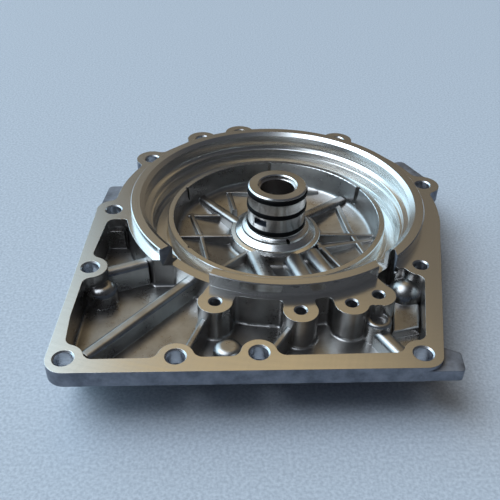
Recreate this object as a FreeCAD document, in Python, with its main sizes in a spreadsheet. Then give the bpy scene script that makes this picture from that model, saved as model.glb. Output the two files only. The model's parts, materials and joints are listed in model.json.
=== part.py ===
import FreeCAD
import Part
import Sketcher
import math
import os

V = FreeCAD.Vector

# Die cast aluminium end housing.  The frame's origin is on the axis of the large
# turned bore, in the plane of the foot ring that the housing stands on, and +Z
# points out of the open, machined side.  -Y is the straight edge of the flange.

doc = FreeCAD.newDocument("die_cast_housing")
sheet = doc.addObject("Spreadsheet::Sheet", "Dimensions")

# ---------------------------------------------------------------------------
# Driving dimensions, in millimetres and degrees
# ---------------------------------------------------------------------------
DIMENSIONS = {
    # levels above the foot ring
    "spigot_top": 42.0,
    "flange_top": 34.3,
    "flange_thk": 9.1,
    "pocket_floor": 16.0,
    "tray_bottom": 11.0,
    "ear_low": 14.0,
    "tab_low": 25.4,
    "tab_thick": 6.4,
    "rib_root": 14.0,
    "bowl_root": 7.0,
    "platform_thick": 7.0,
    "below_all": -1.0,
    "above_all": 60.0,
    # flange plate, pocket and bolt holes
    "plate_round": 101.2,
    "lug_round": 10.6,
    "pitch_round": 101.5,
    "corner_round": 9.7,
    "lug_blend": 4.5,
    "lug_blend_tight": 1.6,
    "slope_turn": 40.7,
    "slope_edge": 139.5,
    "slope_wall": 4.2,
    "bolt_hole": 4.6,
    "pin_hole": 3.9,
    "bolt_seat": 7.4,
    "tapped_hole": 3.0,
    "tapped_depth": 17.0,
    "hole_lead": 0.7,
    "lead_spread": 1.2,
    "lead_over": 0.5,
    "stud_boss": 9.2,
    "stud_web": 17.0,
    "lobe_web": 16.8,
    "port_round": 4.5,
    "port_floor": 26.0,
    "floor_blend": 1.5,
    # turned drum, radii
    "spigot_outer": 90.5,
    "spigot_inner": 85.0,
    "lip_inner": 82.3,
    "seat_inner": 79.0,
    "guide_inner": 78.0,
    "groove_outer": 76.8,
    "groove_step": 71.5,
    "groove_foot": 69.9,
    "ring_outer": 68.5,
    "ring_inner": 64.7,
    "ring_foot": 63.4,
    "drum_outer": 93.5,
    "window_wall": 85.0,
    "foot_outer": 73.5,
    "foot_inner": 66.5,
    # turned drum, levels
    "lip_level": 40.0,
    "shoulder_level": 32.2,
    "seat_level": 31.0,
    "guide_level": 27.5,
    "relief_level": 21.4,
    "groove_level": 17.4,
    "ring_top": 27.6,
    "window_level": 30.5,
    "bowl_rim": 11.8,
    "bowl_centre": 7.4,
    "drum_under": 12.5,
    "drum_skirt": 15.0,
    "notch_floor": 15.5,
    # hub post
    "post_round": 18.3,
    "post_top": 48.6,
    "post_bore": 11.7,
    "hub_bore": 11.0,
    "hub_bore_depth": 24.3,
    "groove_round": 15.9,
    "groove_wide": 3.3,
    "seal_low_level": 21.3,
    "seal_mid_level": 33.6,
    "seal_top_level": 43.9,
    "slot_turn": -127.5,
    "slot_wide": 8.8,
    "slot_low": 27.8,
    "slot_high": 32.2,
    "slot_bottom": 14.6,
    "feed_hole_round": 1.2,
    "feed_turn": -72.0,
    "feed_start": 12.5,
    "feed_level": 18.8,
    "feed_length": 16.0,
    "base_disc": 29.0,
    "base_disc_top": 14.2,
    # separate pieces
    "seal_outer": 18.8,
    "seal_inner": 16.1,
    "seal_thick": 3.0,
    "seal_gap": 0.6,
    "seal_float": 0.08,
    "bush_inner": 10.5,
    "bush_clear": 0.03,
    "bush_length": 22.0,
    "bush_drop": 2.2,
    "bush_chamfer": 0.4,
    "bush_seam": 0.4,
}

ROW = [0]


def note(alias, value):
    ROW[0] += 1
    sheet.set("A%d" % ROW[0], alias)
    sheet.set("B%d" % ROW[0], repr(float(value)))
    sheet.setAlias("B%d" % ROW[0], alias)


for alias, value in DIMENSIONS.items():
    note(alias, value)
doc.recompute()


def dim(alias):
    return float(sheet.get(alias))


def cell(alias):
    return "Dimensions.%s" % alias


# ---------------------------------------------------------------------------
# Small builders: every one makes document objects bound to the sheet
# ---------------------------------------------------------------------------
def outline(name, points, level):
    """A closed sketch of straight edges, each corner held by two cells."""
    sketch = doc.addObject("Sketcher::SketchObject", name)
    count = len(points)
    for index, (px, py) in enumerate(points):
        qx, qy = points[(index + 1) % count]
        sketch.addGeometry(Part.LineSegment(V(px, py, 0), V(qx, qy, 0)), False)
    rules = []
    for index in range(count):
        rules.append(Sketcher.Constraint("Coincident", index, 2, (index + 1) % count, 1))
    sketch.addConstraint(rules)
    for index, (px, py) in enumerate(points):
        for axis, value in (("X", px), ("Y", py)):
            alias = "%s_%s_%d" % (name, axis.lower(), index)
            note(alias, value)
            rule = sketch.addConstraint(Sketcher.Constraint("Distance" + axis, -1, 1, index, 1, value))
            sketch.setExpression("Constraints[%d]" % rule, cell(alias))
    sketch.setExpression("Placement.Base.z", level)
    return sketch


def extrude(name, sketch, height):
    solid = doc.addObject("Part::Extrusion", name)
    solid.Base = sketch
    solid.DirMode = "Custom"
    solid.Dir = V(0, 0, 1)
    solid.Solid = True
    solid.setExpression("LengthFwd", height)
    return solid


def post(name, px, py, radius, low, high):
    """An upright round column between two levels."""
    note(name + "_px", px)
    note(name + "_py", py)
    solid = doc.addObject("Part::Cylinder", name)
    solid.setExpression("Radius", radius)
    solid.setExpression("Height", "(%s) - (%s)" % (high, low))
    solid.setExpression("Placement.Base.x", cell(name + "_px"))
    solid.setExpression("Placement.Base.y", cell(name + "_py"))
    solid.setExpression("Placement.Base.z", low)
    return solid


def cone(name, px, py, low_radius, high_radius, low, high):
    note(name + "_px", px)
    note(name + "_py", py)
    solid = doc.addObject("Part::Cone", name)
    solid.setExpression("Radius1", low_radius)
    solid.setExpression("Radius2", high_radius)
    solid.setExpression("Height", "(%s) - (%s)" % (high, low))
    solid.setExpression("Placement.Base.x", cell(name + "_px"))
    solid.setExpression("Placement.Base.y", cell(name + "_py"))
    solid.setExpression("Placement.Base.z", low)
    return solid


def bar(name, start, end, width, low, high):
    """A straight upright bar from start to end, centred on that line."""
    span = math.hypot(end[0] - start[0], end[1] - start[1])
    turn = math.degrees(math.atan2(end[1] - start[1], end[0] - start[0]))
    for key, value in (("px", start[0]), ("py", start[1]), ("span", span), ("turn", turn)):
        note("%s_%s" % (name, key), value)
    solid = doc.addObject("Part::Box", name)
    solid.Placement = FreeCAD.Placement(V(0, 0, 0), FreeCAD.Rotation(V(0, 0, 1), 10))
    solid.setExpression("Length", cell(name + "_span"))
    solid.setExpression("Width", width)
    solid.setExpression("Height", "(%s) - (%s)" % (high, low))
    turned = cell(name + "_turn") + " * 1deg"
    half = "(%s) / 2" % width
    solid.setExpression("Placement.Rotation.Angle", cell(name + "_turn"))
    solid.setExpression("Placement.Base.x", "%s + %s * sin(%s)" % (cell(name + "_px"), half, turned))
    solid.setExpression("Placement.Base.y", "%s - %s * cos(%s)" % (cell(name + "_py"), half, turned))
    solid.setExpression("Placement.Base.z", low)
    return solid


def rounded(name, source, radius, wanted):
    """Rounds the edges of source for which wanted(edge) is true."""
    doc.recompute()
    picked = []
    for index, edge in enumerate(source.Shape.Edges):
        if wanted(edge):
            picked.append((index + 1, radius, radius))
    solid = doc.addObject("Part::Fillet", name)
    solid.Base = source
    solid.Edges = picked
    return solid


def upright(edge):
    low, high = edge.BoundBox.ZMin, edge.BoundBox.ZMax
    flat = max(edge.BoundBox.XLength, edge.BoundBox.YLength)
    return high - low > 1.0 and flat < 1e-4


def fused(name, shapes):
    solid = doc.addObject("Part::MultiFuse", name)
    solid.Shapes = shapes
    return solid


def cut(name, base, tool):
    solid = doc.addObject("Part::Cut", name)
    solid.Base = base
    solid.Tool = tool
    return solid


def rib(name, start, end, foot, crest, low, high, blend):
    """A drafted rib: wide at its foot, narrower at its crest, with rounded long edges."""
    span = math.hypot(end[0] - start[0], end[1] - start[1])
    turn = math.degrees(math.atan2(end[1] - start[1], end[0] - start[0]))
    for key, value in (("px", start[0]), ("py", start[1]), ("span", span), ("foot", foot),
                       ("crest", crest), ("low", low), ("high", high)):
        note("%s_%s" % (name, key), value)
    solid = doc.addObject("Part::Wedge", name)
    stand_up = FreeCAD.Rotation(V(1, 0, 0), 90)
    solid.Placement = FreeCAD.Placement(V(0, 0, 0), FreeCAD.Rotation(V(0, 0, 1), turn).multiply(stand_up))
    solid.Xmin = 0.0
    solid.X2min = 0.0
    for key in ("Xmax", "X2max"):
        solid.setExpression(key, cell(name + "_span"))
    solid.setExpression("Ymin", cell(name + "_low"))
    solid.setExpression("Ymax", cell(name + "_high"))
    solid.setExpression("Zmin", "0 - %s / 2" % cell(name + "_foot"))
    solid.setExpression("Zmax", "%s / 2" % cell(name + "_foot"))
    solid.setExpression("Z2min", "0 - %s / 2" % cell(name + "_crest"))
    solid.setExpression("Z2max", "%s / 2" % cell(name + "_crest"))
    solid.setExpression("Placement.Base.x", cell(name + "_px"))
    solid.setExpression("Placement.Base.y", cell(name + "_py"))

    def long_top(edge):
        ends = [vertex.Point.z for vertex in edge.Vertexes]
        return min(ends) > high - 1e-4 and abs(edge.Length - span) < 1e-3

    return rounded(name + "_round", solid, blend, long_top)


def turned(name, corners):
    """A body turned about Z from a closed section of (radius, level) cells."""
    body = doc.addObject("PartDesign::Body", name)
    sketch = body.newObject("Sketcher::SketchObject", name + "_section")
    planes = body.Origin.OriginFeatures
    plane = [item for item in planes if item.Role == "XZ_Plane"][0]
    sketch.AttachmentSupport = [(plane, "")]
    sketch.MapMode = "FlatFace"
    count = len(corners)
    values = []
    for radius, level in corners:
        values.append((sheet_value(radius), sheet_value(level)))
    for index in range(count):
        start = values[index]
        end = values[(index + 1) % count]
        sketch.addGeometry(Part.LineSegment(V(start[0], start[1], 0), V(end[0], end[1], 0)), False)
    rules = []
    for index in range(count):
        rules.append(Sketcher.Constraint("Coincident", index, 2, (index + 1) % count, 1))
    sketch.addConstraint(rules)
    for index in range(count):
        rule = sketch.addConstraint(
            Sketcher.Constraint("DistanceX", -1, 1, index, 1, values[index][0]))
        sketch.setExpression("Constraints[%d]" % rule, corners[index][0])
        if abs(values[index][1]) < 1e-9:
            sketch.addConstraint(Sketcher.Constraint("PointOnObject", index, 1, -1))
            continue
        rule = sketch.addConstraint(
            Sketcher.Constraint("DistanceY", -1, 1, index, 1, values[index][1]))
        sketch.setExpression("Constraints[%d]" % rule, corners[index][1])
    revolve = body.newObject("PartDesign::Revolution", name + "_turning")
    revolve.Profile = sketch
    revolve.ReferenceAxis = (sketch, ["V_Axis"])
    revolve.Angle = 360.0
    return body


def sheet_value(text):
    """The number that an expression of sheet cells stands for."""
    for alias in sorted(DIMENSIONS, key=len, reverse=True):
        text = text.replace(cell(alias), repr(DIMENSIONS[alias]))
    total = 0.0
    for term in text.replace("- ", "+ -").split("+ "):
        total += float(term.replace("- ", "-"))
    return total


def at(alias, shift=0.0):
    """A cell, or a cell with a fixed step added."""
    if shift == 0.0:
        return cell(alias)
    if shift > 0.0:
        return "%s + %r" % (cell(alias), shift)
    return "%s - %r" % (cell(alias), -shift)


def above(alias, step):
    """A level that lies one other cell's value above a cell."""
    return "%s + %s" % (cell(alias), cell(step))


# ---------------------------------------------------------------------------
# Housing casting: turned drum, bowl and hub post
# ---------------------------------------------------------------------------
FOOT_OUTER = cell("foot_outer")
FOOT_INNER = cell("foot_inner")
DRUM_UNDER = cell("drum_under")
BORE_STEP = "%s - %s" % (cell("post_top"), cell("hub_bore_depth"))

drum = turned("drum", [
    (at("hub_bore"), "0.0"),
    (at("hub_bore"), BORE_STEP),
    (at("post_bore"), BORE_STEP),
    (at("post_bore"), at("post_top", -0.7)),
    (at("post_bore", 0.7), at("post_top")),
    (at("post_round", -0.8), at("post_top")),
    (at("post_round"), at("post_top", -0.8)),
    (at("post_round"), above("seal_top_level", "groove_wide")),
    (at("groove_round"), above("seal_top_level", "groove_wide")),
    (at("groove_round"), at("seal_top_level")),
    (at("post_round"), at("seal_top_level")),
    (at("post_round"), above("seal_mid_level", "groove_wide")),
    (at("groove_round"), above("seal_mid_level", "groove_wide")),
    (at("groove_round"), at("seal_mid_level")),
    (at("post_round"), at("seal_mid_level")),
    (at("post_round"), above("seal_low_level", "groove_wide")),
    (at("groove_round"), above("seal_low_level", "groove_wide")),
    (at("groove_round"), at("seal_low_level")),
    (at("post_round"), at("seal_low_level")),
    (at("post_round"), at("base_disc_top", 6.2)),
    (at("post_round", 1.4), at("base_disc_top", 5.4)),
    (at("post_round", 3.0), at("base_disc_top", 4.8)),
    (at("post_round", 3.4), at("base_disc_top", 3.6)),
    (at("base_disc", -3.4), at("base_disc_top", 1.3)),
    (at("base_disc", -3.0), at("base_disc_top", 0.5)),
    (at("base_disc", -0.5), at("base_disc_top", 0.0)),
    (at("base_disc"), at("base_disc_top", -0.5)),
    (at("base_disc", 0.3), at("bowl_centre", 2.2)),
    (at("base_disc", 1.0), at("bowl_centre", 0.9)),
    (at("base_disc", 2.4), at("bowl_centre", 0.2)),
    (at("base_disc", 4.0), at("bowl_centre", 0.2)),
    (at("ring_foot", -3.4), at("bowl_rim")),
    (at("ring_foot", -1.6), at("bowl_rim", 0.5)),
    (at("ring_foot", -0.5), at("bowl_rim", 1.6)),
    (at("ring_foot"), at("bowl_rim", 3.4)),
    (at("ring_inner"), at("ring_top", -0.4)),
    (at("ring_inner", 0.4), at("ring_top")),
    (at("ring_outer", -0.4), at("ring_top")),
    (at("ring_outer"), at("ring_top", -0.4)),
    (at("ring_outer", 0.3), at("groove_level", 1.8)),
    (at("groove_foot"), at("groove_level", 0.7)),
    (at("groove_step", -0.2), at("groove_level", 0.7)),
    (at("groove_step"), at("groove_level")),
    (at("groove_outer", -0.9), at("groove_level")),
    (at("groove_outer"), at("groove_level", 0.9)),
    (at("groove_outer"), at("relief_level", -1.6)),
    (at("guide_inner"), at("relief_level")),
    (at("guide_inner"), at("guide_level", -0.2)),
    (at("seat_inner"), at("guide_level")),
    (at("seat_inner"), at("seat_level")),
    (at("seat_inner", 0.5), at("seat_level", 0.3)),
    (at("lip_inner"), at("shoulder_level")),
    (at("lip_inner"), at("lip_level")),
    (at("spigot_inner"), at("spigot_top")),
    (at("spigot_outer", -0.5), at("spigot_top")),
    (at("spigot_outer"), at("spigot_top", -0.5)),
    (at("spigot_outer"), at("flange_top")),
    (at("drum_outer"), at("flange_top")),
    (at("drum_outer"), at("drum_skirt")),
    (at("drum_outer", -2.5), DRUM_UNDER),
    (FOOT_OUTER, DRUM_UNDER),
    (FOOT_OUTER, "0.0"),
    (FOOT_INNER, "0.0"),
    (at("ring_inner"), at("bowl_rim", -5.2)),
    (at("base_disc", 2.0), at("bowl_centre", -5.0)),
    (at("base_disc", -4.5), at("bowl_centre", -5.2)),
    (at("base_disc", -4.5), "0.0"),
])

# ---------------------------------------------------------------------------
# Flange plate: a round plate and the square front, with a lug at each bolt
# ---------------------------------------------------------------------------
FLANGE_LOW = "%s - %s" % (cell("flange_top"), cell("flange_thk"))
FLANGE_HIGH = cell("flange_top")

plate_disc = post("plate_disc", 0.0, 0.0, cell("plate_round"), FLANGE_LOW, FLANGE_HIGH)

FRONT_CORNERS = [(-111.6, -5.0), (-118.9, -143.1), (68.7, -143.1), (98.6, -22.0), (60.0, 20.0), (-80.0, 20.0)]
front_outline = outline("front_outline", FRONT_CORNERS, FLANGE_LOW)
front_block = extrude("front_block", front_outline, cell("flange_thk"))


def front_corner(edge):
    return upright(edge) and edge.BoundBox.YMin < FRONT_CORNERS[1][1] + 1.0


front_plate = rounded("front_plate", front_block, dim("corner_round"), front_corner)

# bolt positions: those on the pitch circle by their angle, the rest by place
PITCH_ANGLES = {"east": 13.2, "north_east": 60.0, "north": 101.6, "north_west": 118.3,
                "west_high": 144.3, "west": 183.2}
PITCH = dim("pitch_round")
BOLTS = {}
for key, angle in PITCH_ANGLES.items():
    BOLTS[key] = (PITCH * math.cos(math.radians(angle)), PITCH * math.sin(math.radians(angle)))
LUGS = list(BOLTS)
BOLTS["west_low"] = (-107.3, -63.8)
BOLTS["front_left"] = (-109.8, -133.6)
BOLTS["front_mid_left"] = (-57.3, -133.3)
BOLTS["front_mid"] = (-17.6, -131.4)
BOLTS["front_right"] = (61.2, -133.5)
BOLTS["east_low"] = (76.5, -64.2)

lugs = []
for key in LUGS:
    lugs.append(post("lug_" + key, BOLTS[key][0], BOLTS[key][1], cell("lug_round"), FLANGE_LOW, FLANGE_HIGH))

plate_sharp = fused("plate_sharp", [plate_disc, front_plate] + lugs)


def lug_root(edge):
    """Upright edges where a lug runs into the round plate."""
    if not upright(edge):
        return False
    point = edge.Vertexes[0].Point
    return abs(math.hypot(point.x, point.y) - dim("plate_round")) < 0.05 and point.y > -15.0


def close_root(edge):
    """The two lug roots that face each other across a short gap."""
    point = edge.Vertexes[0].Point
    return abs(math.degrees(math.atan2(point.y, point.x)) - 109.9) < 4.6


def wide_root(edge):
    return lug_root(edge) and not close_root(edge)


def tight_root(edge):
    return lug_root(edge) and close_root(edge)


plate_round = rounded("plate_blend", plate_sharp, dim("lug_blend"), wide_root)
plate = rounded("plate", plate_round, dim("lug_blend_tight"), tight_root)

# lower ears that stand out past the flange under it
EAR_LOW = cell("ear_low")
EAR_HIGH = FLANGE_LOW
EAR_WEST = [(-90.0, 37.3), (-109.8, 37.0), (-112.6, 14.0), (-110.0, -2.0), (-90.0, -2.0)]
EAR_EAST = [(76.0, 44.0), (87.0, 68.0), (97.0, 71.5), (110.0, 44.0), (88.0, 20.0)]
TAB_FRONT = [(60.0, -143.1), (79.5, -143.1), (80.5, -131.0), (72.0, -127.0), (60.0, -127.0)]
EAR_WEST_BLEND = 3.0
EAR_EAST_BLEND = 4.0
TAB_BLEND = 2.0
ear_west_outline = outline("ear_west", EAR_WEST, EAR_LOW)
ear_west_block = extrude("ear_west_block", ear_west_outline, "%s - %s" % (EAR_HIGH, EAR_LOW))
ear_west = rounded("ear_west_round", ear_west_block, EAR_WEST_BLEND, upright)
ear_east_outline = outline("ear_east", EAR_EAST, EAR_LOW)
ear_east_block = extrude("ear_east_block", ear_east_outline, "%s - %s" % (EAR_HIGH, EAR_LOW))
ear_east = rounded("ear_east_round", ear_east_block, EAR_EAST_BLEND, upright)
tab_outline = outline("tab_front", TAB_FRONT, cell("tab_low"))
tab_block = extrude("tab_front_block", tab_outline, cell("tab_thick"))


def tab_corner(edge):
    return upright(edge) and edge.BoundBox.XMin > TAB_FRONT[3][0] + 3.0


tab_front = rounded("tab_front_round", tab_block, TAB_BLEND, tab_corner)

# ---------------------------------------------------------------------------
# Tray below the front of the flange, and the pocket in it
# ---------------------------------------------------------------------------
TRAY = [(-90.0, -8.0), (-108.0, -8.0), (-116.0, -138.7), (65.5, -138.2), (83.5, -62.0), (60.0, -40.0)]
TRAY_LAP = 1.0
TRAY_BLEND = 8.0
tray_outline = outline("tray", TRAY, cell("tray_bottom"))
tray_block = extrude("tray_block", tray_outline, "%s - %s + %r" % (FLANGE_LOW, cell("tray_bottom"), TRAY_LAP))


def tray_corner(edge):
    return upright(edge) and edge.BoundBox.YMin < TRAY[4][1] - 38.0


tray = rounded("tray_round", tray_block, TRAY_BLEND, tray_corner)

pocket_outline = outline("pocket", [
    (-60.0, -16.4), (-103.4, -16.4), (-108.9, -64.0), (-111.3, -104.0), (-110.2, -134.5),
    (62.6, -132.6), (77.6, -69.0), (72.0, -50.0), (40.0, -50.0)], cell("pocket_floor"))
POCKET_DEEP = "30.0"
WINDOW_DEEP = "34.0"
pocket_block = extrude("pocket_block", pocket_outline, POCKET_DEEP)

# what stays standing in the pocket: the drum wall, the bolt lobes and the stud bosses
POCKET_LOW = "%s - 5.0" % cell("pocket_floor")
POCKET_HIGH = at("above_all", -10.0)
drum_keep = post("drum_keep", 0.0, 0.0, cell("drum_outer"), POCKET_LOW, POCKET_HIGH)

# two windows in the drum wall, where the pocket reaches in to a thinner wall
WINDOW_LEFT = [(-78.0, -58.0), (-78.0, -96.0), (-40.5, -96.0), (-40.5, -58.0)]
WINDOW_RIGHT = [(49.2, -58.0), (49.2, -90.0), (66.5, -90.0), (66.5, -66.9), (61.7, -66.9), (61.7, -58.0)]
POCKET_FLOOR = cell("pocket_floor")
window_left = extrude("window_left_block", outline("window_left", WINDOW_LEFT, POCKET_FLOOR), WINDOW_DEEP)
window_right = extrude("window_right_block", outline("window_right", WINDOW_RIGHT, POCKET_FLOOR), WINDOW_DEEP)
windows = fused("windows", [window_left, window_right])
window_core = post("window_core", 0.0, 0.0, cell("window_wall"), POCKET_LOW, POCKET_HIGH)
window_cut = cut("window_cut", windows, window_core)
drum_keep_open = cut("drum_keep_open", drum_keep, window_cut)

WEB_ROOT = dim("window_wall") - 1.0
STUDS = {"first": -112.4, "second": -87.0, "third": -71.3, "fourth": -61.9}
stud_posts = []
stud_places = {}
for key, angle in STUDS.items():
    px = PITCH * math.cos(math.radians(angle))
    py = PITCH * math.sin(math.radians(angle))
    stud_places[key] = (px, py)
    stud_posts.append(post("stud_" + key, px, py, cell("stud_boss"), POCKET_LOW, POCKET_HIGH))
    inner = (px * WEB_ROOT / PITCH, py * WEB_ROOT / PITCH)
    stud_posts.append(bar("stud_web_" + key, inner, (px, py), cell("stud_web"), POCKET_LOW, POCKET_HIGH))

LOBES = {"front_left": 9.3, "front_mid_left": 8.9, "front_mid": 8.9,
         "front_right": 9.2, "east_low": 9.7, "west_low": 9.4}
lobes = []
for key, radius in LOBES.items():
    note("lobe_%s_round" % key, radius)
    lobes.append(post("lobe_" + key, BOLTS[key][0], BOLTS[key][1],
                      cell("lobe_%s_round" % key), POCKET_LOW, POCKET_HIGH))
WEB_LEFT = 61.7
lobe_web = bar("lobe_web_bar", (WEB_LEFT, -58.5), (80.0, -58.5), cell("lobe_web"), POCKET_LOW, POCKET_HIGH)
keep_posts = fused("keep_posts", stud_posts + lobes + [lobe_web])
keep = fused("keep", [drum_keep_open, keep_posts])
pocket_sharp = cut("pocket_sharp", pocket_block, keep)


OUTER_BLEND = 5.0
BOSS_BLEND = 2.4
WINDOW_BLEND = 1.0
SILL_BLEND = 0.8
NOSE_BLEND = 1.2
NOSE_X = -73.3


def pocket_radius(edge):
    """Blend radius of one upright corner of the pocket, or 0 to leave it."""
    point = edge.Vertexes[0].Point
    if not upright(edge) or (point.x < -100.0 and -110.0 < point.y < -100.0):
        return 0.0
    if point.y < -115.0 or point.x < -100.0 or (point.x > 68.0 and point.y < -68.0):
        return OUTER_BLEND
    if abs(point.x - NOSE_X) < 1.0:
        return NOSE_BLEND
    if math.hypot(point.x, point.y) < dim("window_wall") + 2.0 or abs(point.x - WEB_LEFT) < 0.3:
        return SILL_BLEND
    if abs(point.x - WINDOW_LEFT[2][0]) < 0.3:
        return WINDOW_BLEND
    return BOSS_BLEND


doc.recompute()
pocket_soft = doc.addObject("Part::Fillet", "pocket_soft")
pocket_soft.Base = pocket_sharp
pocket_soft.Edges = [(index + 1, pocket_radius(edge), pocket_radius(edge))
                     for index, edge in enumerate(pocket_sharp.Shape.Edges) if pocket_radius(edge) > 0.0]


def floor_edge(edge):
    level = dim("pocket_floor")
    return all(abs(vertex.Point.z - level) < 1e-5 for vertex in edge.Vertexes)


pocket_tool = rounded("pocket_tool", pocket_soft, dim("floor_blend"), floor_edge)

# ---------------------------------------------------------------------------
# Ribs, gallery bosses and strips that stand on the pocket floor
# ---------------------------------------------------------------------------
def domed(name, px, py, radius, high, crown):
    """An upright boss on the pocket floor whose top edge is rounded."""
    note(name + "_round", radius)
    note(name + "_high", high)
    column = post(name, px, py, cell(name + "_round"), cell("rib_root"), cell(name + "_high"))
    doc.recompute()

    def rim(edge):
        return edge.Closed and abs(edge.BoundBox.ZMin - high) < 1e-3

    return rounded(name + "_crown", column, crown, rim)


def dome(name, px, py, pz, radius):
    """A round swelling: the part of a ball that stands out of the floor."""
    for key, value in (("px", px), ("py", py), ("pz", pz), ("ball", radius)):
        note("%s_%s" % (name, key), value)
    solid = doc.addObject("Part::Sphere", name)
    solid.setExpression("Radius", cell(name + "_ball"))
    solid.setExpression("Placement.Base.x", cell(name + "_px"))
    solid.setExpression("Placement.Base.y", cell(name + "_py"))
    solid.setExpression("Placement.Base.z", cell(name + "_pz"))
    return solid


ROOT = dim("rib_root")
PLATFORM = [(60.0, -78.0), (74.0, -82.0), (69.5, -100.6), (54.0, -104.5)]
PLATFORM_BLEND = 1.6
platform_outline = outline("platform", PLATFORM, cell("rib_root"))
platform_block = extrude("platform_block", platform_outline, cell("platform_thick"))


def platform_rim(edge):
    ends = [vertex.Point.z for vertex in edge.Vertexes]
    return min(ends) > dim("rib_root") + dim("platform_thick") - 0.1


PORT = (46.4, -102.4)
pocket_ribs = [
    rib("gallery_long", (-102.6, -122.8), (-52.6, -64.0), 9.6, 6.6, ROOT, 26.2, 2.4),
    rib("gallery_short", (-100.5, -61.0), (-78.0, -51.6), 10.0, 7.6, ROOT, 30.0, 3.0),
    rib("gallery_step", (-96.0, -60.6), (-77.5, -51.6), 6.4, 4.6, ROOT, 18.4, 1.0),
    domed("mound", -101.0, -70.3, 8.4, 27.5, 5.0),
    rib("end_step", (-98.8, -12.0), (-98.8, -21.5), 11.5, 10.0, ROOT, 28.5, 2.0),
    rib("web_first", (-42.0, -94.0), (-55.0, -128.0), 5.0, 3.6, ROOT, 28.0, 1.2),
    rib("web_second", (1.5, -104.0), (-12.0, -125.0), 5.0, 3.6, ROOT, 28.0, 1.2),
    domed("boss_tall", -32.2, -118.8, 7.6, 26.8, 4.0),
    domed("boss_ported", PORT[0], PORT[1], 7.0, 28.8, 1.6),
    rib("gallery_right", (47.0, -107.0), (58.0, -128.5), 10.0, 8.0, ROOT, 25.0, 3.4),
    dome("bulge", 67.0, -74.0, 20.5, 9.6),
    rounded("platform_round", platform_block, PLATFORM_BLEND, platform_rim),
]

# ribs, strips and half-round galleries on the bowl floor
BOWL_ROOT = dim("bowl_root")
bowl_ribs = [
    rib("rib_west", (-27.0, -4.3), (-63.2, -4.3), 4.2, 2.8, BOWL_ROOT, 13.4, 0.9),
    rib("rib_north_west", (-21.0, 6.9), (-48.6, 41.2), 8.4, 6.4, BOWL_ROOT, 15.0, 2.6),
    rib("rib_north_east", (20.0, 16.7), (49.5, 38.4), 10.0, 7.4, BOWL_ROOT, 15.2, 3.0),
    rib("rib_south_west", (-17.0, -19.4), (-43.0, -45.4), 4.2, 2.8, BOWL_ROOT, 13.2, 0.9),
    rib("rib_east", (26.0, -3.4), (63.0, -5.0), 4.2, 2.8, BOWL_ROOT, 13.8, 0.9),
    rib("rib_east_low", (26.0, -17.6), (62.0, -9.6), 4.2, 2.8, BOWL_ROOT, 13.4, 0.9),
    rib("rib_south_east", (25.0, -9.5), (42.5, -47.0), 4.2, 2.8, BOWL_ROOT, 13.2, 0.9),
    rib("strip_west_high", (-55.0, 22.0), (-48.6, -1.0), 4.2, 2.8, BOWL_ROOT, 13.0, 0.9),
    rib("strip_west_low", (-48.6, 1.0), (-43.5, -29.0), 4.2, 2.8, BOWL_ROOT, 12.8, 0.9),
    rib("strip_west_across", (-57.0, 20.5), (-34.0, 20.5), 4.0, 2.6, BOWL_ROOT, 12.8, 0.8),
    rib("strip_north_west", (-29.4, 50.5), (-25.6, 27.0), 4.4, 3.0, BOWL_ROOT, 12.8, 0.9),
    rib("strip_north", (-31.0, 50.0), (34.0, 50.0), 4.4, 3.0, BOWL_ROOT, 13.0, 0.9),
    rib("strip_east_high", (44.5, 40.0), (48.8, 0.0), 5.4, 3.8, BOWL_ROOT, 13.2, 1.2),
    rib("strip_east_low", (48.5, 2.0), (55.5, -26.0), 5.4, 3.8, BOWL_ROOT, 13.2, 1.2),
    rib("bowl_gallery_first", (-14.6, -20.0), (-3.6, -65.2), 13.0, 12.0, BOWL_ROOT, 14.4, 5.4),
    rib("bowl_gallery_second", (7.4, -20.0), (19.4, -63.0), 13.0, 12.0, BOWL_ROOT, 14.4, 5.4),
    rib("bowl_gallery_third", (21.6, -20.0), (35.6, -55.5), 11.2, 10.4, BOWL_ROOT, 13.8, 4.8),
]

# ---------------------------------------------------------------------------
# Casting put together
# ---------------------------------------------------------------------------
SLOPE_TILT = math.radians(dim("slope_turn"))
SLOPE_SIZE = (240.0, 60.0, 30.0)
SLOPE_LEFT = -140.0
SLOPE_OVER = 10.0


def slope_block(name, wall):
    """A tilted block under the front of the tray, its face moved in by wall."""
    solid = doc.addObject("Part::Box", name)
    solid.Length, solid.Width, solid.Height = SLOPE_SIZE
    across = SLOPE_OVER * math.cos(SLOPE_TILT) + SLOPE_SIZE[2] * math.sin(SLOPE_TILT)
    down = SLOPE_SIZE[2] * math.cos(SLOPE_TILT) - SLOPE_OVER * math.sin(SLOPE_TILT)
    level = dim("flange_top") - dim("flange_thk")
    solid.Placement = FreeCAD.Placement(
        V(SLOPE_LEFT, -dim("slope_edge") - across, level - down),
        FreeCAD.Rotation(V(1, 0, 0), -dim("slope_turn")))
    tilt = cell("slope_turn") + " * 1deg"
    solid.setExpression("Placement.Base.y", "%r - %s + (%s) * sin(%s)" % (
        -across, cell("slope_edge"), wall, tilt))
    solid.setExpression("Placement.Base.z", "%s - %r + (%s) * cos(%s)" % (
        FLANGE_LOW, down, wall, tilt))
    return solid


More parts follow.
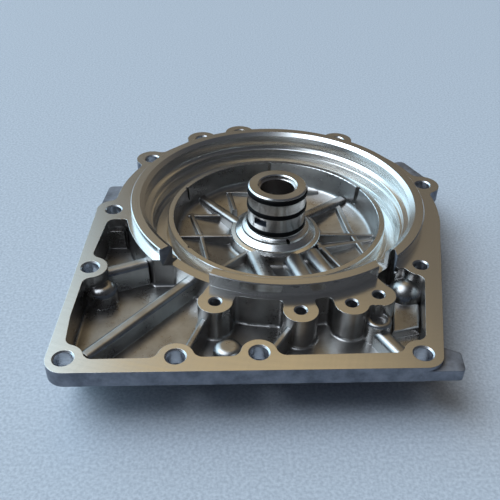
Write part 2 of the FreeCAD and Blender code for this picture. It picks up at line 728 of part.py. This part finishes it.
tray_sloped = cut("tray_sloped", tray, slope_block("tray_slope", "0"))
front_wall = doc.addObject("Part::Common", "front_wall")
front_wall.Base = tray_sloped
front_wall.Tool = slope_block("front_wall_block", cell("slope_wall"))
TOOL_LOW = cell("below_all")
TOOL_HIGH = cell("above_all")
skirt = fused("skirt", [plate, tab_front, ear_west, ear_east, tray_sloped])
drum_bore = post("drum_bore", 0.0, 0.0, at("drum_outer", -1.0), TOOL_LOW, TOOL_HIGH)
skirt_open = cut("skirt_open", skirt, drum_bore)
blank = fused("blank", [skirt_open, drum])
hollowed = cut("hollowed", blank, pocket_tool)
ribbed = fused("ribbed", [hollowed, front_wall] + pocket_ribs + bowl_ribs)

tools = []


def lead(name, place, size):
    """The cone that breaks the edge of a hole at the flange face."""
    wide = "%s + %s" % (cell(size), cell("lead_spread"))
    low = "%s - %s" % (cell("flange_top"), cell("hole_lead"))
    return cone(name, place[0], place[1], cell(size), wide, low, above("flange_top", "lead_over"))


for key, place in BOLTS.items():
    size = "pin_hole" if key == "east_low" else "bolt_hole"
    tools.append(post("bolt_hole_" + key, place[0], place[1], cell(size), TOOL_LOW, TOOL_HIGH))
    tools.append(lead("bolt_lead_" + key, place, size))
    tools.append(post("bolt_seat_" + key, place[0], place[1], cell("bolt_seat"), TOOL_LOW, FLANGE_LOW))
STUD_END = "%s - %s" % (cell("flange_top"), cell("tapped_depth"))
for key, place in stud_places.items():
    tools.append(post("stud_hole_" + key, place[0], place[1], cell("tapped_hole"), STUD_END, TOOL_HIGH))
    tools.append(lead("stud_lead_" + key, place, "tapped_hole"))
tools.append(post("port_recess", PORT[0], PORT[1], cell("port_round"), cell("port_floor"), TOOL_HIGH))

# the two gaps in the spigot, above the thinner wall of the windows
gap_core = post("gap_core", 0.0, 0.0, at("seat_inner", -2.0), cell("pocket_floor"), TOOL_HIGH)


def gap(name, start, sweep):
    """A sector of the spigot between two angles, down to the sill."""
    note(name + "_start", start)
    note(name + "_sweep", sweep)
    pie = doc.addObject("Part::Cylinder", name + "_pie")
    pie.Placement = FreeCAD.Placement(V(0, 0, 0), FreeCAD.Rotation(V(0, 0, 1), 10))
    pie.setExpression("Radius", cell("drum_outer"))
    pie.setExpression("Angle", cell(name + "_sweep"))
    pie.setExpression("Height", "%s - %s" % (TOOL_HIGH, cell("window_level")))
    pie.setExpression("Placement.Rotation.Angle", cell(name + "_start"))
    pie.setExpression("Placement.Base.z", cell("window_level"))
    return cut(name, pie, gap_core)


tools.append(gap("gap_left", 220.4, 22.1))
tools.append(gap("gap_right", 305.2, 8.3))

# half-round locating notches in the inner ring
NOTCHES = {"north": (90.3, 1.2), "north_west": (152.0, 1.2),
           "south_west": (214.0, 1.2), "north_east": (27.6, 1.8)}
NOTCH_REACH = dim("ring_inner") + 0.3
for key, (angle, radius) in NOTCHES.items():
    turn = math.radians(angle)
    note("notch_%s_round" % key, radius)
    tools.append(post("notch_" + key, NOTCH_REACH * math.cos(turn), NOTCH_REACH * math.sin(turn),
                      cell("notch_%s_round" % key), cell("notch_floor"), TOOL_HIGH))

# oil slot in the land between the lower seal rings, and the feed hole in the cone
SLOT_TURN = math.radians(dim("slot_turn"))
SLOT_START = dim("slot_bottom")
SLOT_END = dim("post_round") + 3.7
tools.append(bar("oil_slot", (SLOT_START * math.cos(SLOT_TURN), SLOT_START * math.sin(SLOT_TURN)),
                 (SLOT_END * math.cos(SLOT_TURN), SLOT_END * math.sin(SLOT_TURN)),
                 cell("slot_wide"), cell("slot_low"), cell("slot_high")))
FEED_TURN = math.radians(dim("feed_turn"))
FEED_AIM = V(math.cos(FEED_TURN), math.sin(FEED_TURN), 0.0)
feed = doc.addObject("Part::Cylinder", "feed_hole")
feed.setExpression("Radius", cell("feed_hole_round"))
feed.setExpression("Height", cell("feed_length"))
feed.Placement = FreeCAD.Placement(FEED_AIM * dim("feed_start") + V(0, 0, dim("feed_level")),
                                   FreeCAD.Rotation(V(0, 0, 1), FEED_AIM))
tools.append(feed)

drill = fused("drill", tools)
housing = cut("housing", ribbed, drill)
housing.Label = "housing"

# ---------------------------------------------------------------------------
# Bush and seal rings: separate pieces
# ---------------------------------------------------------------------------
BUSH_HIGH = "%s - %s" % (cell("post_top"), cell("bush_drop"))
BUSH_LOW = "%s - %s" % (BUSH_HIGH, cell("bush_length"))
BUSH_OUTER = "%s - %s" % (cell("post_bore"), cell("bush_clear"))
BUSH_MOUTH = above("bush_inner", "bush_chamfer")
bush_shell = turned("bush_shell", [
    (BUSH_MOUTH, BUSH_LOW),
    (BUSH_OUTER, BUSH_LOW),
    (BUSH_OUTER, BUSH_HIGH),
    (BUSH_MOUTH, BUSH_HIGH),
    (at("bush_inner"), "%s - %s" % (BUSH_HIGH, cell("bush_chamfer"))),
    (at("bush_inner"), "%s + %s" % (BUSH_LOW, cell("bush_chamfer"))),
])
SEAM_START = dim("bush_inner") - 0.5
SEAM_END = dim("post_bore") + 0.9
bush_split = bar("bush_split", (0.0, SEAM_START), (0.0, SEAM_END), cell("bush_seam"), TOOL_LOW, TOOL_HIGH)
hub_bush = cut("hub_bush", bush_shell, bush_split)
hub_bush.Label = "hub_bush"

rings = []
RING_TURNS = {"low": 70.0, "mid": 115.0, "top": 160.0}
RING_CHAMFER = 0.3
RING_SHOULDER = 0.4
SPLIT_START = dim("seal_inner") - 2.1
SPLIT_END = dim("seal_outer") + 2.2
for key, turn in RING_TURNS.items():
    level = "seal_%s_level" % key
    rest = above(level, "seal_float")
    crest = above(level, "seal_thick")
    shell = turned("seal_%s_shell" % key, [
        (at("seal_inner"), rest),
        (at("seal_outer", -RING_CHAMFER), rest),
        (at("seal_outer"), at(level, RING_SHOULDER)),
        (at("seal_outer"), "%s - %r" % (crest, RING_CHAMFER)),
        (at("seal_outer", -RING_CHAMFER), crest),
        (at("seal_inner"), crest),
    ])
    angle = math.radians(turn)
    split = bar("seal_%s_gap" % key, (SPLIT_START * math.cos(angle), SPLIT_START * math.sin(angle)),
                (SPLIT_END * math.cos(angle), SPLIT_END * math.sin(angle)),
                cell("seal_gap"), TOOL_LOW, TOOL_HIGH)
    ring = cut("seal_ring_" + key, shell, split)
    ring.Label = "seal_ring_" + key
    rings.append(ring)

doc.recompute()

PIECES = [housing, hub_bush] + rings
for item in doc.Objects:
    state = list(item.State)
    if "Invalid" in state or "Error" in state:
        raise RuntimeError("%s did not build: %s" % (item.Name, state))
os.makedirs("parts", exist_ok=True)
for piece in PIECES:
    shape = piece.Shape
    if shape.isNull() or not shape.isValid() or len(shape.Solids) != 1:
        raise RuntimeError("%s is not one valid solid" % piece.Label)
    print(piece.Label, "volume", round(shape.Volume), "faces", len(shape.Faces), "box", shape.BoundBox)
for piece in PIECES:
    piece.Shape.exportStep("parts/%s.step" % piece.Label)
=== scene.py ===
import json
import math
from itertools import combinations

import bmesh
import bpy
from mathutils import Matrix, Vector
from mathutils.bvhtree import BVHTree


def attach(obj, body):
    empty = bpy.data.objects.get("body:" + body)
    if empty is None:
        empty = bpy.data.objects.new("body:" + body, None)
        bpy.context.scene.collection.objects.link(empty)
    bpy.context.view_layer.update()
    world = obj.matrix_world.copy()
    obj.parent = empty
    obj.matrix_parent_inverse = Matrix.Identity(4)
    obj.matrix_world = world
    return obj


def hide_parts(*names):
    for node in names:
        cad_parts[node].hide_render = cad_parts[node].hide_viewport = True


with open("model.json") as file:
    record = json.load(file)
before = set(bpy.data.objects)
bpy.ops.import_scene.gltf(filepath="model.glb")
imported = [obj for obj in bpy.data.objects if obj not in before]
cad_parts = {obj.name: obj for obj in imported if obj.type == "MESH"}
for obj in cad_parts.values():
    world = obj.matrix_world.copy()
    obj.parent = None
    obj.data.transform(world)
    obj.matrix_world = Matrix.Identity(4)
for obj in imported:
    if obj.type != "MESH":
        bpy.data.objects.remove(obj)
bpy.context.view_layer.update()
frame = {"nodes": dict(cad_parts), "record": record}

MM = 0.001
MOUNTS = {mount["name"]: mount for mount in frame["record"]["mounts"]}
scene = bpy.context.scene
scene.view_settings.view_transform = "Standard"


# ---------------------------------------------------------------------------
# Node helpers
# ---------------------------------------------------------------------------
def feed(tree, socket, value):
    """Links a socket to another one, or gives it a plain value."""
    if isinstance(value, bpy.types.NodeSocket):
        tree.links.new(value, socket)
    else:
        socket.default_value = value


def add(tree, kind, inputs=None, **settings):
    """A node with its settings; each input is a socket or a plain value."""
    node = tree.nodes.new(kind)
    for name, value in settings.items():
        setattr(node, name, value)
    for key, value in (inputs or {}).items():
        feed(tree, node.inputs[key], value)
    return node


def math_node(tree, operation, *values):
    """What a Math node makes of sockets or plain numbers."""
    return add(tree, "ShaderNodeMath", dict(enumerate(values)), operation=operation).outputs[0]


def measure(tree, operation, *values):
    """The number that a Vector Math node gives, such as a length."""
    node = add(tree, "ShaderNodeVectorMath", dict(enumerate(values)), operation=operation)
    return node.outputs["Value"]


def mix_colour(tree, factor, first, second, blend="MIX"):
    """Two colours, each a socket or three numbers, blended by a factor."""
    node = add(tree, "ShaderNodeMix", data_type="RGBA", blend_type=blend)
    for name, value in (("Factor", factor), ("A", first), ("B", second)):
        socket = [item for item in node.inputs if item.name == name and item.enabled][0]
        feed(tree, socket, value + (1.0,) if isinstance(value, tuple) else value)
    return [item for item in node.outputs if item.enabled][0]


def ramp(tree, value, low, high, bottom=0.0, top=1.0):
    """A value from low to high mapped onto bottom to top, and held between them."""
    spans = {"From Min": low, "From Max": high, "To Min": bottom, "To Max": top}
    return add(tree, "ShaderNodeMapRange", {"Value": value, **spans}).outputs[0]


def noise(tree, place, scale, detail, rough=0.5):
    """A cloudy value that changes from place to place, with finer detail added."""
    settings = {"Vector": place, "Scale": scale, "Detail": detail, "Roughness": rough}
    return add(tree, "ShaderNodeTexNoise", settings).outputs["Fac"]


def weighted(tree, first, second, share):
    """The first value by its share and the second by the rest, added up."""
    rest = math_node(tree, "MULTIPLY", second, 1.0 - share)
    return math_node(tree, "MULTIPLY_ADD", first, share, rest)


def along_line(tree, travel):
    """A place that moves along one axis only, so that noise there makes stripes."""
    return add(tree, "ShaderNodeCombineXYZ", {"X": travel}).outputs[0]


def new_group(name, inputs, outputs):
    """An empty shader group; inputs are (name, kind, default), outputs (name, kind)."""
    tree = bpy.data.node_groups.new(name, "ShaderNodeTree")
    for label, kind, default in inputs:
        socket = tree.interface.new_socket(label, in_out="INPUT", socket_type="NodeSocket" + kind)
        socket.default_value = default
    for label, kind in outputs:
        tree.interface.new_socket(label, in_out="OUTPUT", socket_type="NodeSocket" + kind)
    source = tree.nodes.new("NodeGroupInput")
    sink = tree.nodes.new("NodeGroupOutput")
    return tree, source.outputs, sink.inputs


def use_group(tree, group, **values):
    """A group placed in a material; an underscore in a value's name is a space."""
    node = tree.nodes.new("ShaderNodeGroup")
    node.node_tree = group
    for key, value in values.items():
        node.inputs[key.replace("_", " ")].default_value = value
    return node


# ---------------------------------------------------------------------------
# Shared effects
# ---------------------------------------------------------------------------
NOISE_SPAN = (0.35, 0.65)  # most of a noise's values lie here
WIPE_SPAN = (0.3, 0.7)
EDGE_SAMPLES = 4
CAST_RELIEF, MILLED_RELIEF = 0.12 * MM, 0.03 * MM
BLOTCH_RELIEF = 1.6  # height of a blotch against that of a grain
GRAIN_SHARE = 0.4  # part of the cast skin's roughness that follows the grain
FINE_SHARE = 0.4  # part of the turning marks that is fine
LAST_PASS_SHARE = 0.65  # part of the milled arcs that the mill's last pass left
LINE_SHARE = 0.5  # part of the milled tone that follows the arcs
LEVEL_SPAN = (0.2, 0.9)  # from a wall to a level face, by how far the normal points up
WIPE_SCALE = 25.0
MILL_CENTRES = ((0.05, 0.30, 0.034), (-0.30, -0.05, 0.034))


def relief_normal(tree, edge_radius, height, strength, distance):
    """A normal with rounded edges and a fine relief over them."""
    soft = add(tree, "ShaderNodeBevel", {"Radius": edge_radius}, samples=EDGE_SAMPLES)
    bump = add(tree, "ShaderNodeBump", {"Distance": distance, "Strength": strength,
                                        "Height": height, "Normal": soft.outputs[0]})
    return bump.outputs[0]


def cast_skin_group():
    """Die cast skin: soft blotches of tone, a fine grain and rounded edges."""
    tree, given, sink = new_group("cast_skin", [
        ("Light", "Color", (0.6, 0.6, 0.6, 1.0)), ("Dark", "Color", (0.4, 0.4, 0.4, 1.0)),
        ("Blotch Scale", "Float", 60.0), ("Grain Scale", "Float", 900.0),
        ("Smooth", "Float", 0.28), ("Rough", "Float", 0.45),
        ("Grain Depth", "Float", 0.2), ("Edge Radius", "Float", 0.0005)],
        [("Colour", "Color"), ("Roughness", "Float"), ("Normal", "Vector")])
    place = add(tree, "ShaderNodeTexCoord").outputs["Object"]
    blotch = noise(tree, place, given["Blotch Scale"], detail=4.0, rough=0.6)
    grain = noise(tree, place, given["Grain Scale"], detail=2.0)
    tone = ramp(tree, blotch, *NOISE_SPAN)
    feed(tree, sink["Colour"], mix_colour(tree, tone, given["Dark"], given["Light"]))
    wear = weighted(tree, grain, blotch, GRAIN_SHARE)
    feed(tree, sink["Roughness"], ramp(tree, wear, *NOISE_SPAN, given["Smooth"], given["Rough"]))
    height = math_node(tree, "MULTIPLY_ADD", blotch, BLOTCH_RELIEF, grain)
    feed(tree, sink["Normal"],
         relief_normal(tree, given["Edge Radius"], height, given["Grain Depth"], CAST_RELIEF))
    return tree


def turning_group():
    """Marks of a turning tool: rings about the Z axis, fine and coarse."""
    tree, given, sink = new_group("turning_marks", [
        ("Fine Scale", "Float", 3000.0), ("Coarse Scale", "Float", 500.0),
        ("Light", "Color", (0.86, 0.85, 0.83, 1.0)), ("Dark", "Color", (0.66, 0.65, 0.63, 1.0)),
        ("Smooth", "Float", 0.16), ("Rough", "Float", 0.26)],
        [("Colour", "Color"), ("Roughness", "Float")])
    surface = add(tree, "ShaderNodeTexCoord").outputs
    place = add(tree, "ShaderNodeSeparateXYZ", {0: surface["Object"]}).outputs
    facing = add(tree, "ShaderNodeSeparateXYZ", {0: surface["Normal"]}).outputs
    flat = add(tree, "ShaderNodeCombineXYZ", {"X": place["X"], "Y": place["Y"]})
    reach = measure(tree, "LENGTH", flat.outputs[0])
    # the tool travels along the axis on a wall, and outwards on a level face
    level = ramp(tree, math_node(tree, "ABSOLUTE", facing["Z"]), *LEVEL_SPAN)
    travel = add(tree, "ShaderNodeMix", {"Factor": level, "A": place["Z"], "B": reach})
    track = along_line(tree, travel.outputs["Result"])
    fine = noise(tree, track, given["Fine Scale"], detail=1.0)
    coarse = noise(tree, track, given["Coarse Scale"], detail=2.0)
    tone = ramp(tree, weighted(tree, fine, coarse, FINE_SHARE), *NOISE_SPAN)
    feed(tree, sink["Colour"], mix_colour(tree, tone, given["Dark"], given["Light"]))
    feed(tree, sink["Roughness"], ramp(tree, tone, 0.0, 1.0, given["Rough"], given["Smooth"]))
    return tree


def milling_group():
    """Marks of a face mill: wide arcs that cross each other, and faint wipes."""
    tree, given, sink = new_group("milling_marks", [
        ("Line Scale", "Float", 900.0), ("Depth", "Float", 0.15),
        ("Light", "Color", (0.85, 0.84, 0.82, 1.0)), ("Dark", "Color", (0.72, 0.71, 0.69, 1.0)),
        ("Smooth", "Float", 0.2), ("Rough", "Float", 0.33), ("Edge Radius", "Float", 0.0003)],
        [("Colour", "Color"), ("Roughness", "Float"), ("Normal", "Vector")])
    place = add(tree, "ShaderNodeTexCoord").outputs["Object"]
    arcs = []
    for centre in MILL_CENTRES:
        track = along_line(tree, measure(tree, "DISTANCE", place, centre))
        arcs.append(noise(tree, track, given["Line Scale"], detail=2.0))
    wipes = noise(tree, place, WIPE_SCALE, detail=3.0, rough=0.6)
    lines = weighted(tree, arcs[0], arcs[1], LAST_PASS_SHARE)
    tone = weighted(tree, ramp(tree, lines, *NOISE_SPAN), ramp(tree, wipes, *WIPE_SPAN), LINE_SHARE)
    feed(tree, sink["Colour"], mix_colour(tree, tone, given["Dark"], given["Light"]))
    feed(tree, sink["Roughness"], ramp(tree, tone, 0.0, 1.0, given["Rough"], given["Smooth"]))
    feed(tree, sink["Normal"],
         relief_normal(tree, given["Edge Radius"], lines, given["Depth"], MILLED_RELIEF))
    return tree


CAST_SKIN = cast_skin_group()
TURNING = turning_group()
MILLING = milling_group()


# ---------------------------------------------------------------------------
# Finishes
# ---------------------------------------------------------------------------
def finish_material(name, group, metallic=1.0, anisotropy=0.0, specular=0.5, **values):
    """A Principled material fed by one of the shared groups."""
    material = bpy.data.materials.new(name)
    material.use_nodes = True
    tree = material.node_tree
    shader = tree.nodes["Principled BSDF"].inputs
    effect = use_group(tree, group, **values).outputs
    feed(tree, shader["Base Color"], effect["Colour"])
    feed(tree, shader["Roughness"], effect["Roughness"])
    if "Normal" in effect:
        feed(tree, shader["Normal"], effect["Normal"])
    feed(tree, shader["Metallic"], metallic)
    feed(tree, shader["Specular IOR Level"], specular)
    if anisotropy:
        # the brushed highlight runs round the Z axis
        place = add(tree, "ShaderNodeTexCoord").outputs["Object"]
        around = add(tree, "ShaderNodeVectorMath", {0: (0.0, 0.0, 1.0), 1: place}, operation="CROSS_PRODUCT")
        feed(tree, shader["Anisotropic"], anisotropy)
        feed(tree, shader["Tangent"], around.outputs[0])
    return material


INNER_CAST = finish_material(
    "cast_inside", CAST_SKIN,
    Light=(0.47, 0.455, 0.44, 1.0), Dark=(0.31, 0.295, 0.285, 1.0),
    Blotch_Scale=55.0, Grain_Scale=800.0, Smooth=0.25, Rough=0.36,
    Grain_Depth=0.07, Edge_Radius=0.8 * MM)
OUTER_CAST = finish_material(
    "cast_outside", CAST_SKIN, metallic=0.8,
    Light=(0.31, 0.325, 0.37, 1.0), Dark=(0.14, 0.15, 0.18, 1.0),
    Blotch_Scale=110.0, Grain_Scale=1400.0, Smooth=0.42, Rough=0.62,
    Grain_Depth=0.6, Edge_Radius=0.6 * MM)
MILLED = finish_material(
    "milled_face", MILLING,
    Depth=0.03, Smooth=0.16, Rough=0.26, Line_Scale=420.0)
TURNED = finish_material("turned_bore", TURNING, anisotropy=0.35)
POST = finish_material("turned_post", TURNING, anisotropy=0.5, Fine_Scale=3600.0)
DRILLED = finish_material(
    "drilled_hole", TURNING,
    Light=(0.72, 0.72, 0.73, 1.0), Dark=(0.5, 0.5, 0.52, 1.0), Smooth=0.2, Rough=0.4)
BUSH = finish_material(
    "bush_lining", TURNING,
    Light=(0.72, 0.66, 0.62, 1.0), Dark=(0.52, 0.48, 0.46, 1.0),
    Fine_Scale=900.0, Smooth=0.16, Rough=0.3)
SEAL = finish_material(
    "seal_black", CAST_SKIN, metallic=0.0, specular=0.15,
    Light=(0.007, 0.007, 0.008, 1.0), Dark=(0.003, 0.003, 0.004, 1.0),
    Blotch_Scale=300.0, Grain_Scale=2500.0, Smooth=0.5, Rough=0.7,
    Grain_Depth=0.1, Edge_Radius=0.2 * MM)


# ---------------------------------------------------------------------------
# Pieces that stand for the solids, with smooth round surfaces
# ---------------------------------------------------------------------------
CREASE = math.radians(34.0)
MERGE = 0.001 * MM
LARGE_FACE_WEIGHT = 60
TURNING_MATCH = 0.90  # least match of a face with the turned surface that it belongs to
SHORTEST_LINE = 0.02 * MM


def skin(node, name, materials):
    """A merged, smooth-shaded copy of a solid, which then stands for it."""
    mesh = frame["nodes"][node].data.copy()
    mesh.name = name
    work = bmesh.new()
    work.from_mesh(mesh)
    bmesh.ops.remove_doubles(work, verts=work.verts, dist=MERGE)
    for edge in work.edges:
        edge.smooth = edge.is_manifold and edge.calc_face_angle(0.0) < CREASE
    for face in work.faces:
        face.smooth = True
    work.to_mesh(mesh)
    work.free()
    mesh.materials.clear()
    for material in materials:
        mesh.materials.append(material)
    piece = bpy.data.objects.new(name, mesh)
    scene.collection.objects.link(piece)
    level = piece.modifiers.new("even_faces", "WEIGHTED_NORMAL")
    level.keep_sharp = True
    level.weight = LARGE_FACE_WEIGHT
    bpy.context.view_layer.update()
    shown = piece.evaluated_get(bpy.context.evaluated_depsgraph_get())
    baked = bpy.data.meshes.new_from_object(shown)
    piece.modifiers.clear()
    piece.data = baked
    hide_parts(node)
    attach(piece, "root")
    return piece


def leaning(spot, out, up):
    """The direction at a spot that goes so far out from the Z axis and so far up."""
    around = Vector((spot.x, spot.y, 0.0)).normalized()
    return Vector((around.x * out, around.y * out, up))


def true_turning(mesh, is_turned):
    """Sets exact normals on the faces that are turned about the Z axis."""
    normals = [corner.vector.copy() for corner in mesh.corner_normals]
    for face in mesh.polygons:
        if not is_turned(face):
            continue
        spots = [mesh.vertices[index].co for index in face.vertices]
        section = [(math.hypot(spot.x, spot.y), spot.z) for spot in spots]
        first, second = max(combinations(section, 2), key=lambda pair: math.dist(*pair))
        length = math.dist(first, second)
        if length < SHORTEST_LINE:
            continue
        out, up = (second[1] - first[1]) / length, (first[0] - second[0]) / length
        if leaning(face.center, out, up).dot(face.normal) < 0.0:
            out, up = -out, -up
        if leaning(face.center, out, up).dot(face.normal) < TURNING_MATCH:
            continue
        for corner, spot in zip(face.loop_indices, spots):
            normals[corner] = leaning(spot, out, up)
    mesh.normals_split_custom_set(normals)


# ---------------------------------------------------------------------------
# Which finish each face of the casting has
# ---------------------------------------------------------------------------
CASTING_FINISHES = {
    "inner_cast": INNER_CAST,
    "outer_cast": OUTER_CAST,
    "milled": MILLED,
    "turned": TURNED,
    "post": POST,
    "drilled": DRILLED,
}
FINISH_ORDER = list(CASTING_FINISHES)
HOLES = [mount for name, mount in MOUNTS.items() if name.startswith(("bolt_hole", "stud_hole"))]
HOLE_MARGIN = 1.25 * MM
FLANGE_LEVEL = MOUNTS["flange_face"]["pos_m"][2]
FLANGE_MATCH = 0.05 * MM
EAR_TOP, TAB_TOP = 25.2 * MM, 31.8 * MM
LEDGE_MATCH = 0.1 * MM
# the post with its foot disc, and the oil slot in it: levels, and reaches from the Z axis
POST_REACH, POST_FOOT = 29.4 * MM, 14.0 * MM
SLOT_LOW, SLOT_HIGH = 27.0 * MM, 32.9 * MM
SLOT_INSIDE, SLOT_OUTSIDE = 12.5 * MM, 17.6 * MM
# the turned ring, bore and spigot
TURNED_INSIDE, TURNED_FOOT = 64.9 * MM, 17.0 * MM
SPIGOT_MARGIN = 0.2 * MM
TURNED_OUTSIDE = MOUNTS["spigot"]["dims"]["r_mm"] * MM + SPIGOT_MARGIN
# parts of a face's normal, which is 1 long
LEVEL = 0.99  # least upward part on a level face
SLOPED = 0.5  # upward part where walls end and floors begin
ACROSS = 0.3  # most that a turned face may have round the axis
RAY_START = 0.2 * MM


def near_hole(spot):
    """Whether a spot lies on the wall or chamfer of a drilled hole."""
    for mount in HOLES:
        gap = math.hypot(spot.x - mount["pos_m"][0], spot.y - mount["pos_m"][1])
        if gap < mount["dims"]["r_mm"] * MM + HOLE_MARGIN:
            return True
    return False


def casting_finish(face, walls):
    """The finish that a face of the casting has."""
    spot = face.center
    rise = face.normal.z
    reach = math.hypot(spot.x, spot.y)
    if rise > LEVEL and abs(spot.z - FLANGE_LEVEL) < FLANGE_MATCH:
        return "milled"
    if near_hole(spot) and rise < LEVEL:
        return "drilled"
    # the oil slot in the post gets the dark outer cast finish, as painted shade in the recess
    if SLOT_LOW < spot.z < SLOT_HIGH and SLOT_INSIDE < reach < SLOT_OUTSIDE:
        return "outer_cast"
    if reach < POST_REACH and spot.z > POST_FOOT:
        return "post"
    if TURNED_INSIDE < reach < TURNED_OUTSIDE and spot.z > TURNED_FOOT:
        around = Vector((-spot.y, spot.x, 0.0)).normalized()
        if abs(face.normal.dot(around)) < ACROSS:
            return "turned"
    if rise < -SLOPED:
        return "outer_cast"
    if rise > SLOPED and min(abs(spot.z - level) for level in (EAR_TOP, TAB_TOP)) < LEDGE_MATCH:
        return "outer_cast"
    # a wall that looks at no other wall is on the outside
    if abs(rise) < SLOPED and walls.ray_cast(spot + face.normal * RAY_START, face.normal)[0] is None:
        return "outer_cast"
    return "inner_cast"


housing = skin("housing", "housing_skin", CASTING_FINISHES.values())
walls = BVHTree.FromPolygons([vertex.co for vertex in housing.data.vertices],
                             [tuple(face.vertices) for face in housing.data.polygons])
for face in housing.data.polygons:
    face.material_index = FINISH_ORDER.index(casting_finish(face, walls))
true_turning(housing.data, lambda face: FINISH_ORDER[face.material_index] in ("turned", "post"))

bush = skin("hub_bush", "bush_skin", [BUSH])
true_turning(bush.data, lambda face: True)
for level in ("low", "mid", "top"):
    seal = skin("seal_ring_" + level, "seal_skin_" + level, [SEAL])
    true_turning(seal.data, lambda face: True)


# ---------------------------------------------------------------------------
# Floor, light and camera
# ---------------------------------------------------------------------------
FLOOR_HALF = 3.0
FLOOR_DARK, FLOOR_LIGHT = (0.50, 0.54, 0.60), (0.66, 0.70, 0.76)
SPECK_SCALE = 620.0
FLOOR_ROUGHNESS = 0.7

# Light from all sides, and then the soft sources of the room: heading and height in degrees,
# half the angle that a source fills, half the angle where it has faded out, and its colour
ROOM_LIGHT = (0.058, 0.062, 0.072)
SOURCES = {
    "window": (150.0, 24.0, 24.0, 45.0, (1.20, 1.74, 2.14)),
    "warm_wall": (92.0, 58.0, 8.0, 24.0, (0.50, 0.38, 0.19)),
    "back_wall": (78.0, 25.0, 25.0, 50.0, (0.10, 0.075, 0.035)),
    "ceiling": (176.0, 62.0, 15.0, 29.0, (3.0, 3.4, 3.85)),
}

CAMERA_LENS, CAMERA_SENSOR = 49.505, 36.0
CAMERA_PLACE = (-0.03617, -0.36612, 0.26699)
CAMERA_TURN = (53.7624, -1.1886, -2.2749)
CAMERA_NEAR = 0.01


def floor_material():
    """Pale blue-grey board with a fine speck."""
    material = bpy.data.materials.new("pale_floor")
    material.use_nodes = True
    tree = material.node_tree
    shader = tree.nodes["Principled BSDF"].inputs
    place = add(tree, "ShaderNodeTexCoord").outputs["Object"]
    speck = ramp(tree, noise(tree, place, SPECK_SCALE, detail=2.0, rough=0.6), *NOISE_SPAN)
    feed(tree, shader["Base Color"], mix_colour(tree, speck, FLOOR_DARK, FLOOR_LIGHT))
    feed(tree, shader["Roughness"], FLOOR_ROUGHNESS)
    return material


def lay_floor():
    """A wide level sheet under the foot ring."""
    mesh = bpy.data.meshes.new("floor")
    corners = [(x * FLOOR_HALF, y * FLOOR_HALF, 0.0) for x, y in ((-1, -1), (1, -1), (1, 1), (-1, 1))]
    mesh.from_pydata(corners, [], [(0, 1, 2, 3)])
    mesh.materials.append(floor_material())
    plane = bpy.data.objects.new("floor", mesh)
    scene.collection.objects.link(plane)


def light_room():
    """Soft room light: a cool window to the left, warm walls behind, a dark front."""
    world = bpy.data.worlds.new("room")
    scene.world = world
    world.use_nodes = True
    tree = world.node_tree
    direction = add(tree, "ShaderNodeTexCoord").outputs["Generated"]
    total = ROOM_LIGHT
    for heading, height, full, fade, colour in SOURCES.values():
        turn, lift = math.radians(heading), math.radians(height)
        axis = (math.cos(lift) * math.cos(turn), math.cos(lift) * math.sin(turn), math.sin(lift))
        aim = measure(tree, "DOT_PRODUCT", direction, axis)
        share = ramp(tree, aim, math.cos(math.radians(fade)), math.cos(math.radians(full)))
        total = mix_colour(tree, share, total, colour, "ADD")
    feed(tree, tree.nodes["Background"].inputs["Color"], total)


def place_camera():
    """The view from in front and above, slightly to the left."""
    camera = bpy.data.cameras.new("camera")
    camera.lens = CAMERA_LENS
    camera.sensor_width = CAMERA_SENSOR
    camera.clip_start = CAMERA_NEAR
    viewpoint = bpy.data.objects.new("camera", camera)
    viewpoint.location = CAMERA_PLACE
    viewpoint.rotation_euler = [math.radians(angle) for angle in CAMERA_TURN]
    scene.collection.objects.link(viewpoint)
    scene.camera = viewpoint


lay_floor()
light_room()
place_camera()
